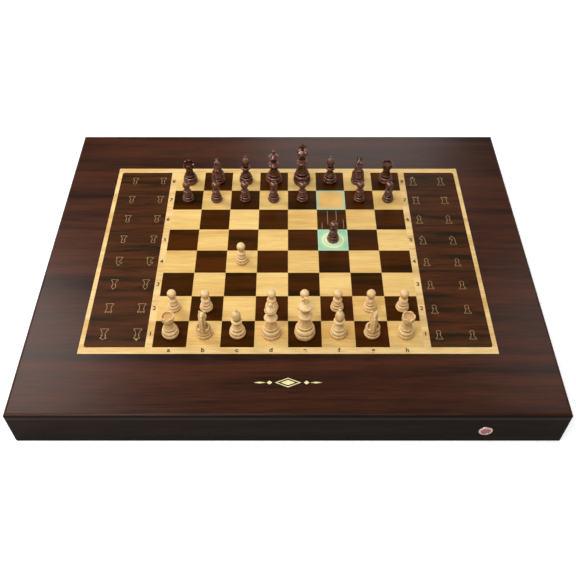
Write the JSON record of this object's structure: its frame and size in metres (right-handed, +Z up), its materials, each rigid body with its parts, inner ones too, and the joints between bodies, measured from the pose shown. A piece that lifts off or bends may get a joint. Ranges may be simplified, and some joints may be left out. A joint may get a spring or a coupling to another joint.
{
  "type": "electronic chess computer",
  "caption": "Flat wooden case with an inlaid chess board that senses and moves its turned pieces by a magnet on a hidden two-axis gantry, with a power button at the front.",
  "frame": {"origin": "middle of the case at the surface that its feet stand on", "axes": "+X to the player's right along the case's long side, -Y towards the player and the power button, +Z up"},
  "size_m": [0.626, 0.5054, 0.1205],
  "materials": {
    "rosewood": "satin lacquered veneer, grain left to right",
    "maple": "satin lacquered inlay",
    "dark_inlay": "satin lacquered inlay",
    "boxwood": "turned and polished",
    "dark_rosewood": "turned and polished, glossy",
    "base_board": "matt stained",
    "foot_rubber": "matt",
    "steel": "ground",
    "button_metal": "polished",
    "circuit": "glass-fibre board with solder mask",
    "battery_wrap": "shrink wrap",
    "gantry_plastic": "moulded",
    "magnet_iron": "plated",
    "motor_casing": "black stator with bare end caps",
    "pulley_alloy": "machined",
    "belt_rubber": "toothed belt"
  },
  "bodies": {
    "case": {"top_panel": "rosewood", "field_border": "maple", "light_squares": "maple", "dark_squares": "dark_inlay", "capture_trays": "dark_inlay", "front_board": "rosewood", "rear_board": "rosewood", "side_boards": "rosewood", "base_panel": "base_board", "rubber_feet": "foot_rubber", "base_screws": "steel", "button_bezel": "button_metal", "sensor_board": "circuit", "control_board": "circuit", "battery_pack": "battery_wrap", "y_rails": "steel", "y_motor": "motor_casing", "y_belts": "belt_rubber"},
    "power_button": {"button_cap": "button_metal"},
    "beam": {"gantry_beam": "gantry_plastic", "x_motor": "motor_casing", "x_belt": "belt_rubber"},
    "trolley": {"trolley": "gantry_plastic", "electromagnet": "magnet_iron"},
    "x_pulley": {"x_pulley": "pulley_alloy"},
    "x_idler": {"x_idler": "pulley_alloy"},
    "y_shaft": {"y_shaft": "steel"},
    "y_idlers": {"y_idlers": "pulley_alloy"},
    "white_rook_a": {"white_rook_a": "boxwood"},
    "white_knight_b": {"white_knight_b": "boxwood"},
    "white_bishop_c": {"white_bishop_c": "boxwood"},
    "white_queen_d": {"white_queen_d": "boxwood"},
    "white_king_e": {"white_king_e": "boxwood"},
    "white_bishop_f": {"white_bishop_f": "boxwood"},
    "white_knight_g": {"white_knight_g": "boxwood"},
    "white_rook_h": {"white_rook_h": "boxwood"},
    "white_pawn_a": {"white_pawn_a": "boxwood"},
    "white_pawn_b": {"white_pawn_b": "boxwood"},
    "white_pawn_c": {"white_pawn_c": "boxwood"},
    "white_pawn_d": {"white_pawn_d": "boxwood"},
    "white_pawn_e": {"white_pawn_e": "boxwood"},
    "white_pawn_f": {"white_pawn_f": "boxwood"},
    "white_pawn_g": {"white_pawn_g": "boxwood"},
    "white_pawn_h": {"white_pawn_h": "boxwood"},
    "black_rook_a": {"black_rook_a": "dark_rosewood"},
    "black_knight_b": {"black_knight_b": "dark_rosewood"},
    "black_bishop_c": {"black_bishop_c": "dark_rosewood"},
    "black_queen_d": {"black_queen_d": "dark_rosewood"},
    "black_king_e": {"black_king_e": "dark_rosewood"},
    "black_bishop_f": {"black_bishop_f": "dark_rosewood"},
    "black_knight_g": {"black_knight_g": "dark_rosewood"},
    "black_rook_h": {"black_rook_h": "dark_rosewood"},
    "black_pawn_a": {"black_pawn_a": "dark_rosewood"},
    "black_pawn_b": {"black_pawn_b": "dark_rosewood"},
    "black_pawn_c": {"black_pawn_c": "dark_rosewood"},
    "black_pawn_d": {"black_pawn_d": "dark_rosewood"},
    "black_pawn_e": {"black_pawn_e": "dark_rosewood"},
    "black_pawn_f": {"black_pawn_f": "dark_rosewood"},
    "black_pawn_g": {"black_pawn_g": "dark_rosewood"},
    "black_pawn_h": {"black_pawn_h": "dark_rosewood"}
  },
  "joints": [
    {"name": "button_press", "type": "slide", "parent": "case", "child": "power_button", "axis": [0, 1, 0], "range_m": [0, 0.0015], "stiffness_N_per_m": 900, "springref_m": -0.001},
    {"name": "beam_slide", "type": "slide", "parent": "case", "child": "beam", "axis": [0, 1, 0], "range_m": [-0.16, 0.12]},
    {"name": "trolley_slide", "type": "slide", "parent": "beam", "child": "trolley", "axis": [1, 0, 0], "range_m": [-0.28, 0.16]},
    {"name": "x_pulley_spin", "type": "hinge", "parent": "beam", "child": "x_pulley", "pos_m": [0.2717, 0.0646, 0.0416], "axis": [0, 0, 1], "range_deg": [-2560, 1480]},
    {"name": "x_idler_spin", "type": "hinge", "parent": "beam", "child": "x_idler", "pos_m": [-0.2717, 0.0646, 0.0416], "axis": [0, 0, 1], "range_deg": [-2560, 1480]},
    {"name": "y_shaft_spin", "type": "hinge", "parent": "case", "child": "y_shaft", "pos_m": [0, 0.2179, 0.0256], "axis": [1, 0, 0], "range_deg": [-1120, 1480]},
    {"name": "y_idler_spin", "type": "hinge", "parent": "case", "child": "y_idlers", "pos_m": [0, -0.181, 0.0256], "axis": [1, 0, 0], "range_deg": [-1120, 1480]},
    {"name": "lift_white_rook_a", "type": "slide", "parent": "case", "child": "white_rook_a", "axis": [0, 0, 1], "range_m": [0, 0.1]},
    {"name": "lift_white_knight_b", "type": "slide", "parent": "case", "child": "white_knight_b", "axis": [0, 0, 1], "range_m": [0, 0.1]},
    {"name": "lift_white_bishop_c", "type": "slide", "parent": "case", "child": "white_bishop_c", "axis": [0, 0, 1], "range_m": [0, 0.1]},
    {"name": "lift_white_queen_d", "type": "slide", "parent": "case", "child": "white_queen_d", "axis": [0, 0, 1], "range_m": [0, 0.1]},
    {"name": "lift_white_king_e", "type": "slide", "parent": "case", "child": "white_king_e", "axis": [0, 0, 1], "range_m": [0, 0.1]},
    {"name": "lift_white_bishop_f", "type": "slide", "parent": "case", "child": "white_bishop_f", "axis": [0, 0, 1], "range_m": [0, 0.1]},
    {"name": "lift_white_knight_g", "type": "slide", "parent": "case", "child": "white_knight_g", "axis": [0, 0, 1], "range_m": [0, 0.1]},
    {"name": "lift_white_rook_h", "type": "slide", "parent": "case", "child": "white_rook_h", "axis": [0, 0, 1], "range_m": [0, 0.1]},
    {"name": "lift_white_pawn_a", "type": "slide", "parent": "case", "child": "white_pawn_a", "axis": [0, 0, 1], "range_m": [0, 0.1]},
    {"name": "lift_white_pawn_b", "type": "slide", "parent": "case", "child": "white_pawn_b", "axis": [0, 0, 1], "range_m": [0, 0.1]},
    {"name": "lift_white_pawn_c", "type": "slide", "parent": "case", "child": "white_pawn_c", "axis": [0, 0, 1], "range_m": [0, 0.1]},
    {"name": "lift_white_pawn_d", "type": "slide", "parent": "case", "child": "white_pawn_d", "axis": [0, 0, 1], "range_m": [0, 0.1]},
    {"name": "lift_white_pawn_e", "type": "slide", "parent": "case", "child": "white_pawn_e", "axis": [0, 0, 1], "range_m": [0, 0.1]},
    {"name": "lift_white_pawn_f", "type": "slide", "parent": "case", "child": "white_pawn_f", "axis": [0, 0, 1], "range_m": [0, 0.1]},
    {"name": "lift_white_pawn_g", "type": "slide", "parent": "case", "child": "white_pawn_g", "axis": [0, 0, 1], "range_m": [0, 0.1]},
    {"name": "lift_white_pawn_h", "type": "slide", "parent": "case", "child": "white_pawn_h", "axis": [0, 0, 1], "range_m": [0, 0.1]},
    {"name": "lift_black_rook_a", "type": "slide", "parent": "case", "child": "black_rook_a", "axis": [0, 0, 1], "range_m": [0, 0.1]},
    {"name": "lift_black_knight_b", "type": "slide", "parent": "case", "child": "black_knight_b", "axis": [0, 0, 1], "range_m": [0, 0.1]},
    {"name": "lift_black_bishop_c", "type": "slide", "parent": "case", "child": "black_bishop_c", "axis": [0, 0, 1], "range_m": [0, 0.1]},
    {"name": "lift_black_queen_d", "type": "slide", "parent": "case", "child": "black_queen_d", "axis": [0, 0, 1], "range_m": [0, 0.1]},
    {"name": "lift_black_king_e", "type": "slide", "parent": "case", "child": "black_king_e", "axis": [0, 0, 1], "range_m": [0, 0.1]},
    {"name": "lift_black_bishop_f", "type": "slide", "parent": "case", "child": "black_bishop_f", "axis": [0, 0, 1], "range_m": [0, 0.1]},
    {"name": "lift_black_knight_g", "type": "slide", "parent": "case", "child": "black_knight_g", "axis": [0, 0, 1], "range_m": [0, 0.1]},
    {"name": "lift_black_rook_h", "type": "slide", "parent": "case", "child": "black_rook_h", "axis": [0, 0, 1], "range_m": [0, 0.1]},
    {"name": "lift_black_pawn_a", "type": "slide", "parent": "case", "child": "black_pawn_a", "axis": [0, 0, 1], "range_m": [0, 0.1]},
    {"name": "lift_black_pawn_b", "type": "slide", "parent": "case", "child": "black_pawn_b", "axis": [0, 0, 1], "range_m": [0, 0.1]},
    {"name": "lift_black_pawn_c", "type": "slide", "parent": "case", "child": "black_pawn_c", "axis": [0, 0, 1], "range_m": [0, 0.1]},
    {"name": "lift_black_pawn_d", "type": "slide", "parent": "case", "child": "black_pawn_d", "axis": [0, 0, 1], "range_m": [0, 0.1]},
    {"name": "lift_black_pawn_e", "type": "slide", "parent": "case", "child": "black_pawn_e", "axis": [0, 0, 1], "range_m": [0, 0.1]},
    {"name": "lift_black_pawn_f", "type": "slide", "parent": "case", "child": "black_pawn_f", "axis": [0, 0, 1], "range_m": [0, 0.1]},
    {"name": "lift_black_pawn_g", "type": "slide", "parent": "case", "child": "black_pawn_g", "axis": [0, 0, 1], "range_m": [0, 0.1]},
    {"name": "lift_black_pawn_h", "type": "slide", "parent": "case", "child": "black_pawn_h", "axis": [0, 0, 1], "range_m": [0, 0.1]}
  ],
  "couplings": [
    {"joint": "x_pulley_spin", "follows": "trolley_slide", "rad_per_m": 157.08},
    {"joint": "x_idler_spin", "follows": "trolley_slide", "rad_per_m": 157.08},
    {"joint": "y_shaft_spin", "follows": "beam_slide", "rad_per_m": -157.08},
    {"joint": "y_idler_spin", "follows": "beam_slide", "rad_per_m": -157.08}
  ]
}
